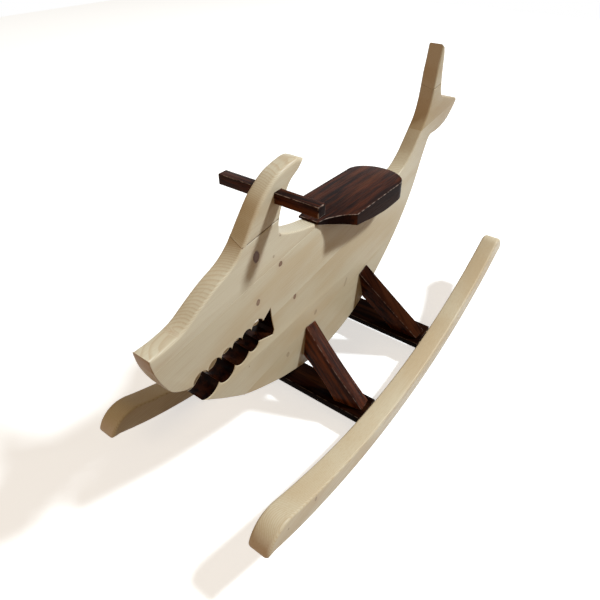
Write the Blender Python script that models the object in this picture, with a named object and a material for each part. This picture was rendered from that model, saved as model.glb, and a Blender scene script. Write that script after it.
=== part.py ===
"""Rocking shark for a child: a shark sawn from edge-glued spruce boards, standing on two
curved runners by two crossbars and four braces, with a seat on its back and a bar through
its fin.

Metres, +Z up. The snout points to -Y and the shark's left side to +X. The origin is on the
floor, half way between the runners, under the middle of the overall length. The key points
below count y from the lowest point of the runners' curve instead.
"""
import math

import bmesh
import bpy
import numpy as np

GAP = 0.0003              # air between two pieces that touch

# Shark: one outline, sawn from boards glued edge to edge
BODY_THICK = 0.042
ROUND_OVER = 0.004        # router radius along the outer edges
MOUTH_ROUND = 0.0015      # softened edges inside the mouth and under the snout
MOUTH_LEAN = (-0.006, 0.011)    # the lower jaw's sawn wall leans this far by the right face
GRAIN_RISE = 0.126        # rise of the glue lines towards the tail, per metre
PANEL_TOP = 0.6093        # height of the panel's straight upper edge on its left face
EDGE_SLANT = 0.2          # that edge is planed out of square, higher on its right face
BOARD_DEPTHS = (0.095, 0.219, 0.353)    # glue lines, straight down from that edge

# Runners
RUNNER_THICK = 0.050
RUNNER_SPREAD = 0.4856    # over the outer faces
SOLE_RADIUS = 1.431
SOLE_STEP = 0.030         # length of one flat of the sole
TOP_RADIUS = 1.264
RUNNER_WAIST = 0.0495     # height of the runner at its lowest point
RUNNER_ROUND = 0.004

# Crossbars and braces
CROSSBAR_WIDE = 0.075
CROSSBAR_THICK = 0.020
BRACE_THICK = 0.0375
BRACE_TIP = 0.184         # how far out the brace reaches on the crossbar
BRACE_CORNER = 0.002

# Seat and bar
SEAT_FRONT, SEAT_CORNER, SEAT_BACK = -0.101, -0.018, 0.242
SEAT_HALF, SEAT_BACK_DEPTH = 0.0755, 0.059
SEAT_TOP, SEAT_FALL = 0.5130, 0.020     # height of the top at y = 0, and its fall per metre
SEAT_EDGE = 0.0015
BAR_SIDE, BAR_LONG = 0.0230, 0.242
BAR_Y, BAR_Z = -0.2283, 0.6305

# Hidden fixings
DOWEL_SIDES = 12
BIG_DOWEL, SMALL_DOWEL = 0.010, 0.008
SCREW_SHANK, SCREW_HEAD, SCREW_LONG = 0.0045, 0.009, 0.055

# Key points (y, z) of the shark's outline; each run is a smooth curve between two corners
FOREHEAD = [(-0.568, 0.475), (-0.531, 0.476), (-0.490, 0.484), (-0.447, 0.506), (-0.407, 0.525),
            (-0.367, 0.541), (-0.335, 0.565), (-0.301, 0.608), (-0.270, 0.643), (-0.230, 0.670),
            (-0.191, 0.681), (-0.163, 0.684), (-0.144, 0.677)]
FIN_REAR = [(-0.144, 0.677), (-0.162, 0.660), (-0.187, 0.645), (-0.203, 0.624), (-0.217, 0.599),
            (-0.225, 0.572), (-0.225, 0.547)]
BACK = [(-0.225, 0.547), (-0.191, 0.532), (-0.140, 0.517), (-0.102, 0.509), (-0.077, 0.500),
        (-0.033, 0.4885), (0.017, 0.479), (0.065, 0.470), (0.137, 0.463), (0.215, 0.467),
        (0.297, 0.482), (0.345, 0.508), (0.388, 0.549), (0.426, 0.591), (0.445, 0.634),
        (0.453, 0.672), (0.459, 0.706), (0.469, 0.742), (0.478, 0.779)]
TAIL_REAR = [(0.492, 0.771), (0.497, 0.749), (0.499, 0.711), (0.504, 0.671), (0.512, 0.644),
             (0.529, 0.630)]
LOBE_TOP = [(0.529, 0.630), (0.575, 0.616), (0.621, 0.604), (0.633, 0.597)]
LOBE_UNDER = [(0.633, 0.597), (0.621, 0.582), (0.600, 0.565), (0.575, 0.549), (0.541, 0.539),
              (0.507, 0.535), (0.470, 0.534), (0.454, 0.522)]
BELLY = [(0.454, 0.522), (0.429, 0.477), (0.391, 0.402), (0.341, 0.333), (0.279, 0.270),
         (0.203, 0.210), (0.129, 0.161), (0.056, 0.133), (-0.030, 0.118), (-0.110, 0.120),
         (-0.172, 0.134), (-0.248, 0.158), (-0.345, 0.201), (-0.404, 0.241), (-0.474, 0.298)]
LOWER_TEETH = [(-0.474, 0.298), (-0.427, 0.308), (-0.381, 0.316), (-0.337, 0.320), (-0.306, 0.323)]
LOWER_HOLLOWS = [(-0.448, 0.291), (-0.403, 0.293), (-0.357, 0.303), (-0.317, 0.310)]
MOUTH_BACK = [(-0.260, 0.308), (-0.255, 0.318), (-0.261, 0.350), (-0.264, 0.384)]
UPPER_TEETH = [(-0.289, 0.366), (-0.325, 0.366), (-0.353, 0.360), (-0.383, 0.359),
               (-0.414, 0.356), (-0.450, 0.353), (-0.489, 0.349)]
UPPER_HOLLOWS = [(-0.305, 0.381), (-0.338, 0.377), (-0.367, 0.375), (-0.400, 0.372),
                 (-0.434, 0.371), (-0.474, 0.367)]
CHIN = [(-0.489, 0.349), (-0.509, 0.356), (-0.536, 0.376), (-0.5505, 0.403), (-0.562, 0.435),
        (-0.5675, 0.464), (-0.568, 0.475)]

# Key points (half width, y) of the seat's neck, from its narrow front to its corner
SEAT_NECK = [(0.026, SEAT_FRONT), (0.031, -0.076), (0.038, -0.062), (0.048, -0.045),
             (0.061, -0.030), (SEAT_HALF, SEAT_CORNER)]

# Each end of a runner: where the upper curve ends, half way round, and the end's lowest point
RUNNER_NOSE = [(-0.493, 0.148), (-0.541, 0.139), (-0.561, 0.113)]
RUNNER_HEEL = [(0.577, 0.187), (0.622, 0.186), (0.640, 0.153)]


def clear_scene():
    for item in list(bpy.data.objects):
        bpy.data.objects.remove(item, do_unlink=True)


def finish(name, colour, roughness, metallic=0.0):
    """A plain Principled material."""
    material = bpy.data.materials.new(name)
    material.use_nodes = True
    shader = material.node_tree.nodes["Principled BSDF"]
    shader.inputs["Base Color"].default_value = (*colour, 1.0)
    shader.inputs["Roughness"].default_value = roughness
    shader.inputs["Metallic"].default_value = metallic
    return material


def add_object(name, bm, material):
    """A new object from a bmesh, its faces turned outwards."""
    bmesh.ops.recalc_face_normals(bm, faces=bm.faces[:])
    mesh = bpy.data.meshes.new(name)
    bm.to_mesh(mesh)
    bm.free()
    mesh.shade_smooth()
    mesh.set_sharp_from_angle(angle=math.radians(32))
    if material:
        mesh.materials.append(material)
    item = bpy.data.objects.new(name, mesh)
    bpy.context.scene.collection.objects.link(item)
    return item


def hide(item):
    """A cutter or a blank: it shapes other pieces and is no piece itself."""
    item.hide_render = True
    item.display_type = "WIRE"
    return item


def shape_by(item, tool, operation):
    cut = item.modifiers.new(operation.lower(), "BOOLEAN")
    cut.operation = operation
    cut.object = tool
    cut.solver = "EXACT"


# Curves

def smooth(points, steps=3):
    """A Catmull-Rom curve through the points, with that many steps from each to the next."""
    p = np.array(points, float)
    p = np.vstack([2 * p[0] - p[1], p, 2 * p[-1] - p[-2]])
    t = np.linspace(0, 1, steps, endpoint=False)[:, None]
    spans = [0.5 * (2 * b + (c - a) * t + (2 * a - 5 * b + 4 * c - d) * t ** 2
                    + (3 * b - a - 3 * c + d) * t ** 3)
             for a, b, c, d in zip(p, p[1:], p[2:], p[3:])]
    return np.vstack(spans + [p[-2:-1]])


def arc(start, middle, end, steps=5):
    """The circular arc through three points."""
    (ax, ay), (bx, by), (cx, cy) = start, middle, end
    turn = 2 * (ax * (by - cy) + bx * (cy - ay) + cx * (ay - by))
    a, b, c = ax * ax + ay * ay, bx * bx + by * by, cx * cx + cy * cy
    centre = np.array([a * (by - cy) + b * (cy - ay) + c * (ay - by),
                       a * (cx - bx) + b * (ax - cx) + c * (bx - ax)]) / turn
    first, last = (math.atan2(q[1] - centre[1], q[0] - centre[0]) for q in (start, end))
    way = 1 if turn > 0 else -1
    sweep = (last - first) * way % (2 * math.pi) * way
    angles = first + sweep * np.linspace(0, 1, steps + 1)
    radius = math.hypot(ax - centre[0], ay - centre[1])
    return centre + radius * np.column_stack([np.cos(angles), np.sin(angles)])


def chain(runs):
    """Runs joined end to end into one closed outline, without doubled points."""
    points = np.vstack([np.array(run, float) for run in runs])
    step = np.linalg.norm(points - np.roll(points, 1, axis=0), axis=1)
    return points[step > 1e-5]


def shark_outline():
    """The shark seen from its left: round from the snout over the back, and along the mouth.
    The second value is the round-over at each point, and the third how far the point has moved
    by the right face, where the saw leant."""
    outer = [smooth(FOREHEAD), smooth(FIN_REAR), smooth(BACK), smooth(TAIL_REAR), smooth(LOBE_TOP),
             smooth(LOBE_UNDER), smooth(BELLY)]
    mouth = [arc(a, b, c) for a, b, c in zip(LOWER_TEETH, LOWER_HOLLOWS, LOWER_TEETH[1:])]
    mouth += [MOUTH_BACK]
    mouth += [arc(a, b, c) for a, b, c in zip(UPPER_TEETH, UPPER_HOLLOWS, UPPER_TEETH[1:])]
    rounded = len(chain(outer))
    outline = chain(outer + mouth + [smooth(CHIN)])
    rounds = np.full(len(outline), MOUTH_ROUND)
    rounds[:rounded] = ROUND_OVER
    rounds[rounded - 2:rounded] = MOUTH_ROUND
    tip, low = rounded - 1, len(chain(mouth[:len(LOWER_HOLLOWS)]))
    share = np.interp(np.arange(len(outline)) - tip, (0, 3, low, low + 2), (0, 1, 1, 0))
    return outline, rounds, share[:, None] * MOUTH_LEAN


def inset(outline, depth):
    """The outline moved inwards by a depth given at each point. Where the moved line would
    cross itself, its points gather where the two sides meet."""
    here, after = outline, np.roll(outline, -1, axis=0)
    way = after - here
    way /= np.linalg.norm(way, axis=1)[:, None]
    x, y = here.T
    area = np.sum(x * np.roll(y, -1) - np.roll(x, -1) * y)
    inward = np.column_stack([-way[:, 1], way[:, 0]]) * np.sign(area)
    before = np.roll(inward, 1, axis=0)
    lean = np.maximum(1 + np.sum(before * inward, axis=1), 0.25)
    moved = here + (before + inward) / lean[:, None] * depth[:, None]

    reach = after - here
    along = np.einsum("ijk,jk->ij", moved[:, None] - here[None], reach) / np.sum(reach ** 2, axis=1)
    foot = here[None] + np.clip(along, 0, 1)[..., None] * reach[None]
    near = np.linalg.norm(moved[:, None] - foot, axis=2)
    good = np.all(near > np.minimum(depth[:, None], depth[None]) * 0.93 - 1e-7, axis=1)
    count = len(outline)
    starts = [i for i in range(count) if good[i] and not good[(i + 1) % count]]
    for first in starts:
        last = first + 1
        while not good[last % count]:
            last += 1
        a, b = moved[first], moved[last % count]
        u, v = way[first], way[(last - 1) % count]
        cross = u[0] * v[1] - u[1] * v[0]
        meet = (a + b) / 2
        if abs(cross) > 0.05:
            ahead = ((b - a)[0] * v[1] - (b - a)[1] * v[0]) / cross
            if 0 < ahead < 0.08:
                meet = a + u * ahead
        for i in range(first + 1, last):
            moved[i % count] = meet
    return moved


def slab(outline, rounds, half, middle, bend=2, lean=np.zeros(2)):
    """A board of an outline in (y, z), from middle - half to middle + half along X, with its
    two rims rounded over. Lean is how far the outline has moved when it gets to the low side."""
    bm = bmesh.new()
    rings = []
    turns = [math.radians(90) * i / bend for i in range(bend + 1)]
    sides = [(-1, t) for t in reversed(turns)] + [(1, t) for t in turns]
    for side, turn in sides:
        ring = inset(outline, rounds * (1 - math.cos(turn)))
        x = middle + side * (half - rounds * (1 - math.sin(turn)))
        ring = ring + lean * ((middle + half - x) / (2 * half))[:, None]
        rings.append([bm.verts.new((a, *p)) for a, p in zip(x, ring)])
    for low, high in zip(rings, rings[1:]):
        for i in range(len(outline)):
            bm.faces.new((low[i - 1], low[i], high[i], high[i - 1]))
    bm.faces.new(rings[0])
    bm.faces.new(rings[-1])
    bmesh.ops.remove_doubles(bm, verts=bm.verts[:], dist=1e-5)
    bmesh.ops.dissolve_degenerate(bm, edges=bm.edges[:], dist=1e-5)
    bmesh.ops.triangulate(bm, faces=bm.faces[:])
    return bm


def prism(corners, axis_from, axis_to):
    """A solid between two rings of corners that match one to one."""
    bm = bmesh.new()
    low = [bm.verts.new(c) for c in axis_from]
    high = [bm.verts.new(c) for c in axis_to]
    for i in range(corners):
        bm.faces.new((low[i - 1], low[i], high[i], high[i - 1]))
    bm.faces.new(low)
    bm.faces.new(high)
    return bm


def turned(profile, start, direction, sides=DOWEL_SIDES, bm=None):
    """A turned solid: a profile of (distance along the axis, radius), closed at both ends."""
    bm = bm or bmesh.new()
    axis = np.array(direction, float)
    axis /= np.linalg.norm(axis)
    side = np.cross(axis, (0.0, 0.6, 0.8) if abs(axis[0]) > 0.5 else (1.0, 0.0, 0.0))
    side /= np.linalg.norm(side)
    up = np.cross(axis, side)
    rings = []
    for along, radius in profile:
        centre = np.array(start) + axis * along
        angles = [2 * math.pi * (i + 0.5) / sides for i in range(sides)]
        rings.append([bm.verts.new(centre + radius * (side * math.cos(a) + up * math.sin(a)))
                      for a in angles])
    for low, high in zip(rings, rings[1:]):
        for i in range(sides):
            bm.faces.new((low[i - 1], low[i], high[i], high[i - 1]))
    bm.faces.new(rings[0])
    bm.faces.new(rings[-1])
    return bm


class Fixings:
    """Dowels and screws, with one cutter for the holes of all of them."""

    def __init__(self, wood, steel):
        self.wood, self.steel = wood, steel
        self.holes = bmesh.new()

    def dowel(self, name, middle, direction, diameter, length):
        """A dowel with chamfered ends, half its length on each side of the middle."""
        radius, edge = diameter / 2, 0.001
        axis = np.array(direction, float) / np.linalg.norm(direction)
        start = np.array(middle) - axis * length / 2
        profile = [(0, radius - edge), (edge, radius), (length - edge, radius),
                   (length, radius - edge)]
        add_object(name, turned(profile, start, axis), self.wood)
        hole = [(-GAP, radius + GAP), (length + GAP, radius + GAP)]
        turned(hole, start, axis, bm=self.holes)

    def screw(self, name, head, direction):
        """A countersunk wood screw; head is the middle of its flat face."""
        shank, cap = SCREW_SHANK / 2, SCREW_HEAD / 2
        cone = cap - shank
        profile = [(0, cap), (0.0006, cap), (cone + 0.0006, shank),
                   (SCREW_LONG - 0.007, shank), (SCREW_LONG, 0.0004)]
        add_object(name, turned(profile, head, direction), self.steel)
        profile = [(-0.002, cap + GAP), (0.0006, cap + GAP), (cone + 0.0006, shank + GAP),
                   (SCREW_LONG + GAP, shank + GAP)]
        turned(profile, head, direction, bm=self.holes)


# The pieces

def grain_line(y):
    """Height of the panel's straight upper edge."""
    return PANEL_TOP + GRAIN_RISE * y


def board_block(name, top, bottom, front, back, material):
    """A slanting block between two glue lines, to be shaped by the shark's blank."""
    wide = BODY_THICK

    def ring(x):
        rise = [EDGE_SLANT * (BODY_THICK / 2 - x) if abs(d) < GAP else 0 for d in (top, bottom)]
        return [(x, front, grain_line(front) - top + rise[0]),
                (x, back, grain_line(back) - top + rise[0]),
                (x, back, grain_line(back) - bottom + rise[1]),
                (x, front, grain_line(front) - bottom + rise[1])]

    return add_object(name, prism(4, ring(-wide), ring(wide)), material)


def shark_boards(spruce):
    """Five boards glued edge to edge, the fin and the tail's tip: seven pieces of one blank."""
    outline, rounds, lean = shark_outline()
    blank = slab(outline, rounds, BODY_THICK / 2, 0.0, lean=lean)
    blank = hide(add_object("shark_blank", blank, None))
    first, second, third = BOARD_DEPTHS
    half = GAP / 2
    ends = (-0.62, 0.68)
    blocks = [("dorsal_fin", -0.20, -half, ends[0], 0.0),
              ("tail_tip", -0.20, -half, 0.30, ends[1]),
              ("head_board", half, first - half, ends[0], 0.10),
              ("tail_board", half, first - half, 0.25, ends[1]),
              ("upper_jaw_board", first + half, second - half, *ends),
              ("lower_jaw_board", second + half, third - half, *ends),
              ("belly_board", third + half, 0.60, *ends)]
    boards = {}
    for name, top, bottom, front, back in blocks:
        boards[name] = board_block(name, top, bottom, front, back, spruce)
        shape_by(boards[name], blank, "INTERSECT")
    return boards


def back_height(y):
    """Height of the shark's back under the seat."""
    back = smooth(BACK, 8)
    return np.interp(y, back[:, 0], back[:, 1])


def seat_outline():
    """The seat from above, (x, y): straight front, hollow neck, straight sides, round back."""
    neck = smooth(SEAT_NECK, 3)
    turn = np.linspace(0, math.pi / 2, 9)
    round_back = np.column_stack([SEAT_HALF * np.cos(turn),
                                  SEAT_BACK - SEAT_BACK_DEPTH * (1 - np.sin(turn))])
    sides = np.linspace(SEAT_CORNER, SEAT_BACK - SEAT_BACK_DEPTH, 6)[1:-1]
    side = np.column_stack([np.full(len(sides), SEAT_HALF), sides])
    right = np.vstack([neck, side, round_back])
    left = right[::-1][1:] * (-1, 1)
    return np.vstack([right, left])


def seat(stain):
    """A thick plank with a flat top, its underside cut to the curve of the back."""
    outline = seat_outline()
    middle = np.array([0.0, (SEAT_FRONT + SEAT_BACK) / 2])
    edge = SEAT_EDGE
    inner = middle + (outline - middle) * (1 - edge / SEAT_HALF)
    bm = bmesh.new()

    def ring(points, height):
        return [bm.verts.new((x, y, h)) for (x, y), h in zip(points, height)]

    top, inner_top = (SEAT_TOP - SEAT_FALL * line[:, 1] for line in (outline, inner))
    under = back_height(outline[:, 1]) + GAP
    rings = [ring(outline, under), ring(outline, top - edge), ring(inner, inner_top)]
    count = len(outline)
    for low, high in zip(rings, rings[1:]):
        for i in range(count):
            bm.faces.new((low[i - 1], low[i], high[i], high[i - 1]))
    bm.faces.new(rings[-1])
    for i in range(count // 2):
        j = count - 1 - i
        if j - i > 1:
            right, left = rings[0][i], rings[0][j]
            pair = (rings[0][i + 1], rings[0][j - 1])
            corners = [right, left] + ([pair[1], pair[0]] if pair[0] != pair[1] else [pair[0]])
            bm.faces.new(corners)
    bmesh.ops.remove_doubles(bm, verts=bm.verts[:], dist=1e-5)
    bmesh.ops.triangulate(bm, faces=bm.faces[:])
    return add_object("seat", bm, stain)


def handlebar(stain, fin):
    """A square bar through a square hole in the fin, its ends bevelled."""
    half, edge = BAR_SIDE / 2, 0.002

    def square(x, size):
        return [(x, BAR_Y + a * size, BAR_Z + b * size)
                for a, b in ((-1, -1), (1, -1), (1, 1), (-1, 1))]

    end = BAR_LONG / 2
    bm = prism(4, square(-end + edge, half), square(end - edge, half))
    caps = [face for face in bm.faces if abs(face.normal.x) > 0.9 or abs(
        face.calc_center_median().x) > end - 2 * edge]
    for cap in caps:
        out = 1 if cap.calc_center_median().x > 0 else -1
        grown = bmesh.ops.extrude_discrete_faces(bm, faces=[cap])["faces"][0]
        for vert in grown.verts:
            vert.co.x += out * edge
            vert.co.y += (BAR_Y - vert.co.y) * edge / half
            vert.co.z += (BAR_Z - vert.co.z) * edge / half
    bmesh.ops.remove_doubles(bm, verts=bm.verts[:], dist=1e-6)
    bar = add_object("handlebar", bm, stain)
    hole = prism(4, square(-BODY_THICK, half + GAP), square(BODY_THICK, half + GAP))
    shape_by(fin, hide(add_object("bar_hole", hole, None)), "DIFFERENCE")
    return bar


def runner_outline():
    """A runner from the side: a sole of even flats, a tighter upper curve, rounded ends."""
    flats = np.arange(-0.525, 0.616, SOLE_STEP)
    sole = np.column_stack([flats, SOLE_RADIUS - np.sqrt(SOLE_RADIUS ** 2 - flats ** 2)])
    lowest = SOLE_RADIUS - math.sqrt(SOLE_RADIUS ** 2 - (SOLE_STEP / 2) ** 2)
    sole[:, 1] -= lowest
    heel, nose = arc(*RUNNER_HEEL, steps=6)[::-1], arc(*RUNNER_NOSE, steps=6)
    above = np.arange(0.54, -0.47, -0.045)
    top = RUNNER_WAIST + TOP_RADIUS - np.sqrt(TOP_RADIUS ** 2 - above ** 2)
    toe = [(-0.5605, 0.108), (-0.556, 0.1045), (-0.550, 0.1035)]
    rear = [(0.634, 0.1425), (0.639, 0.1455)]
    return chain([sole, rear, heel, np.column_stack([above, top]), nose, toe])


def runners(spruce):
    outline = runner_outline()
    rounds = np.full(len(outline), RUNNER_ROUND)
    half = RUNNER_THICK / 2
    pieces = {}
    for side, name in ((1, "left_runner"), (-1, "right_runner")):
        middle = side * (RUNNER_SPREAD / 2 - half)
        pieces[name] = add_object(name, slab(outline, rounds, half, middle), spruce)
    return pieces


class Station:
    """A crossbar with its two braces. Its top is centred at (y, z) and tilts with the runners.
    A brace leans forward by an angle, splay is how far forward it runs per metre inwards, butt
    is the length of the end that lies against the body, and sunk is how far its slope and its
    underside are hollowed."""

    def __init__(self, name, centre, tilt, foot, lean, splay, height, butt, sunk):
        self.name, self.centre, self.foot = name, np.array(centre), np.array(foot)
        self.height, self.splay, self.butt, self.sunk = height, splay, butt, sunk
        self.slope = np.array([math.cos(tilt), math.sin(tilt)])
        self.normal = np.array([-math.sin(tilt), math.cos(tilt)])
        self.rise = np.array([-math.sin(lean), math.cos(lean)])
        self.across = np.array([math.cos(lean), math.sin(lean)])

    def on_bar(self, along, up=0.0):
        """(y, z) of a point on the crossbar's section, from the middle of its top."""
        return self.centre + self.slope * along + self.normal * up

    def crossbar(self, stain):
        half, wide = RUNNER_SPREAD / 2 - RUNNER_THICK - GAP, CROSSBAR_WIDE / 2
        section = [self.on_bar(-wide, -CROSSBAR_THICK), self.on_bar(wide, -CROSSBAR_THICK),
                   self.on_bar(wide), self.on_bar(-wide)]
        rings = [[(x, *p) for p in section] for x in (-half, half)]
        bar = add_object(self.name + "_crossbar", prism(4, *rings), stain)
        edge = bar.modifiers.new("softened edges", "BEVEL")
        edge.width, edge.segments, edge.limit_method = 0.0015, 1, "ANGLE"
        return bar

    def brace_point(self, x, height, depth):
        """A point of a brace: height up its plane from the foot line, depth across it."""
        y, z = self.foot + self.rise * height + self.across * depth
        return (x, y - self.splay * (BRACE_TIP - abs(x)), z)

    def foot_corner(self, end, fall, depth):
        """Where an edge that falls outwards, and would end at that x, meets the crossbar."""
        start = self.foot + self.across * depth - self.centre
        level = (GAP - start @ self.normal) / (self.rise @ self.normal)
        gain = self.splay * self.normal[0] / (self.rise @ self.normal)
        inwards = (level + gain * (BRACE_TIP - end)) / (fall - gain)
        return (end - inwards, fall * inwards)

    def hollow(self, start, end):
        """A shallow arc between two corners of a brace, sunk into its wood."""
        start, end = np.array(start), np.array(end)
        way = (end - start) / np.linalg.norm(end - start)
        return arc(start, (start + end) / 2 + self.sunk * np.array([way[1], -way[0]]), end, 4)

    def brace(self, side, name, stain):
        """A mitred board: one end stands on the crossbar, the other lies on the body."""
        inner = BODY_THICK / 2 + GAP
        fall = self.height / (BRACE_TIP - inner)
        heel = BRACE_TIP - self.butt / fall
        rings = []
        for depth in (-BRACE_THICK / 2, BRACE_THICK / 2):
            top = (inner + BRACE_CORNER, self.height - fall * BRACE_CORNER)
            slope = self.hollow(top, self.foot_corner(BRACE_TIP, fall, depth))
            under = self.hollow(self.foot_corner(heel, fall, depth),
                                (inner, self.height - self.butt))
            shape = [(inner, self.height - 2 * BRACE_CORNER), *slope, *under]
            rings.append([self.brace_point(side * x, h, depth) for x, h in shape])
        brace = add_object(name, prism(len(shape), *rings), stain)
        edge = brace.modifiers.new("softened edges", "BEVEL")
        edge.width, edge.segments, edge.limit_method = 0.0015, 1, "ANGLE"
        return brace


FRONT = Station("front", (-0.118, 0.052), 0.0, (-0.1125, 0.052), math.radians(-6), 0.17, 0.1925,
                0.087, 0.0035)
REAR = Station("rear", (0.190, 0.067), math.radians(10), (0.187, 0.068), math.radians(16.5), 0.04,
               0.2055, 0.100, 0.001)


def underframe(stain, runner, belly, fixings):
    """Crossbars, braces, and the dowels and screws that hold them."""
    wood = []
    for station in (FRONT, REAR):
        bar = station.crossbar(stain)
        wood.append(bar)
        for side, hand in ((1, "left"), (-1, "right")):
            name = "%s_%s_brace" % (station.name, hand)
            wood.append(station.brace(side, name, stain))
            joint = RUNNER_SPREAD / 2 - RUNNER_THICK
            for along, place in ((-0.022, "front"), (0.022, "rear")):
                middle = (side * joint, *station.on_bar(along, -CROSSBAR_THICK / 2))
                dowel = "%s_%s_runner_dowel_%s" % (station.name, hand, place)
                fixings.dowel(dowel, middle, (1, 0, 0), SMALL_DOWEL, 0.060)
            for x, place in ((0.128, "inner"), (0.148, "outer")):
                core = station.brace_point(x, 0.02, 0.0)[1:] - station.centre
                head = (side * x, *station.on_bar(core @ station.slope, -CROSSBAR_THICK))
                screw = "%s_%s_brace_screw_%s" % (station.name, hand, place)
                fixings.screw(screw, head, (0, *station.normal))
        for down, place in ((0.057, "lower"), (0.027, "upper")):
            middle = station.brace_point(BODY_THICK / 2, station.height - down, 0.0)
            fixings.dowel("%s_brace_dowel_%s" % (station.name, place), (0.0, *middle[1:]),
                          (1, 0, 0), SMALL_DOWEL, 0.070)
    return wood + list(runner.values()) + [belly]


def centre_on_length():
    """All pieces hang on one empty, which puts the middle of the overall length over y = 0."""
    snout, heel = shark_outline()[0][:, 0].min(), runner_outline()[:, 0].max()
    pieces = list(bpy.data.objects)
    middle = bpy.data.objects.new("lowest_point_of_runners", None)
    middle.location.y = -(snout + heel) / 2
    bpy.context.scene.collection.objects.link(middle)
    for piece in pieces:
        piece.parent = middle


def build():
    clear_scene()
    spruce = finish("spruce", (0.62, 0.48, 0.30), 0.35)
    stain = finish("dark_stain", (0.055, 0.020, 0.013), 0.35)
    beech = finish("dowel_beech", (0.55, 0.36, 0.20), 0.6)
    steel = finish("screw_steel", (0.55, 0.55, 0.52), 0.35, 1.0)
    fixings = Fixings(beech, steel)

    boards = shark_boards(spruce)
    bored = [boards[n] for n in ("dorsal_fin", "head_board", "tail_tip", "tail_board",
                                 "upper_jaw_board")]
    handlebar(stain, boards["dorsal_fin"])
    top = seat(stain)
    bored.append(top)
    bored += underframe(stain, runners(spruce), boards["belly_board"], fixings)

    up = (0, -GRAIN_RISE, 1)
    for y, place in ((-0.290, "front"), (-0.254, "rear")):
        fixings.dowel("fin_dowel_" + place, (0, y, grain_line(y)), up, BIG_DOWEL, 0.060)
    tail = 0.4765
    fixings.dowel("tail_dowel", (0, tail, grain_line(tail)), up, SMALL_DOWEL, 0.050)
    for y, place in ((0.005, "front"), (0.080, "middle"), (0.155, "rear")):
        fixings.dowel("seat_dowel_" + place, (0, y, back_height(y) - 0.002), (0, 0, 1),
                      BIG_DOWEL, 0.040)

    holes = hide(add_object("fixing_holes", fixings.holes, None))
    for piece in bored:
        shape_by(piece, holes, "DIFFERENCE")
    centre_on_length()


build()
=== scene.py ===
import math

import bmesh
import bpy
import numpy as np
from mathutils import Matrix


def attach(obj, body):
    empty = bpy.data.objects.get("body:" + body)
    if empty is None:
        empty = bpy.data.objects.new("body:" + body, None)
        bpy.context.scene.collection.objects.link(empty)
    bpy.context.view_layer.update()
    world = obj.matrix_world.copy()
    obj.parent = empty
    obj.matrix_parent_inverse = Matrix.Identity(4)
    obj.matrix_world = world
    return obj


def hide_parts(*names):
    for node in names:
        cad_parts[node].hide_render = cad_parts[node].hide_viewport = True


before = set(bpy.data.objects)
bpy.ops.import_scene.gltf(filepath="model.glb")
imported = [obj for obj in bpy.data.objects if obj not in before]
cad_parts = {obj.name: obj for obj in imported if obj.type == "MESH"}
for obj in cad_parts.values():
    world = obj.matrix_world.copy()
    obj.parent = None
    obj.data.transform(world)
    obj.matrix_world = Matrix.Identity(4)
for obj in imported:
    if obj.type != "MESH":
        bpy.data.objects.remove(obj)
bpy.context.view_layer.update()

# The place it is shown in: a floor that looks white and throws back the dim brown light of
# boards, a cool lamp behind the shark's left side, a low strip lamp that glints on the braces,
# a broad warm lamp in front, and a warm room. The eye is before the snout, 1.09 m up.
eye = bpy.data.cameras.new("eye")
eye.lens, eye.sensor_width = 32.01, 36.0
eye.shift_x, eye.shift_y = -0.00758, -0.08298
eye_holder = bpy.data.objects.new("eye", eye)
eye_holder.location = (0.58423, -0.95710, 1.09246)
eye_holder.rotation_euler = (math.radians(56.809), 0.0, math.radians(35.919))
bpy.context.scene.collection.objects.link(eye_holder)
bpy.context.scene.camera = eye_holder
bpy.context.scene.view_settings.view_transform = "Standard"

LAMP_MIDDLE = np.array([0.0, -0.20, 0.45])


def lamp(name, towards, distance, wide, high, watts, colour):
    """A flat lamp in the given direction from the toy's middle, facing it."""
    light = bpy.data.lights.new(name, "AREA")
    light.shape, light.size, light.size_y = "RECTANGLE", wide, high
    light.energy, light.color = watts, colour
    holder = bpy.data.objects.new(name, light)
    towards = np.array(towards) / np.linalg.norm(towards)
    holder.location = LAMP_MIDDLE + towards * distance
    across = np.cross((0.0, 0.0, 1.0), towards)
    across /= np.linalg.norm(across)
    turn = np.eye(4)
    turn[:3, 0], turn[:3, 1], turn[:3, 2] = across, np.cross(towards, across), towards
    turn[:3, 3] = holder.location
    holder.matrix_world = turn.T
    bpy.context.scene.collection.objects.link(holder)


lamp("key_lamp", towards=(0.51, 0.485, 0.71), distance=9.0, wide=0.85, high=0.85,
     watts=1020.0, colour=(0.80, 0.91, 1.0))
lamp("strip_lamp", towards=(0.683, 0.705, 0.189), distance=9.0, wide=0.30, high=1.20,
     watts=50.0, colour=(1.0, 1.0, 1.0))
lamp("fill_lamp", towards=(0.05, -0.78, 0.62), distance=7.0, wide=4.4, high=3.5,
     watts=122.0, colour=(1.0, 0.80, 0.54))


def seen_apart(wires, thrown, seen, output):
    """One look for the light that a surface throws on others, and one for what is seen of it
    straight, in a gloss or through glass: the share of the second is the highest of the three
    kinds of ray."""
    rays = wires.nodes.new("ShaderNodeLightPath")
    share = rays.outputs["Is Camera Ray"]
    for kind in ("Is Glossy Ray", "Is Transmission Ray"):
        higher = wires.nodes.new("ShaderNodeMath")
        higher.operation = "MAXIMUM"
        wires.links.new(share, higher.inputs[0])
        wires.links.new(rays.outputs[kind], higher.inputs[1])
        share = higher.outputs[0]
    either = wires.nodes.new("ShaderNodeMixShader")
    for socket, source in enumerate((share, thrown.outputs[0], seen.outputs[0])):
        wires.links.new(source, either.inputs[socket])
    wires.links.new(either.outputs[0], wires.nodes.new(output).inputs[0])


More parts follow.
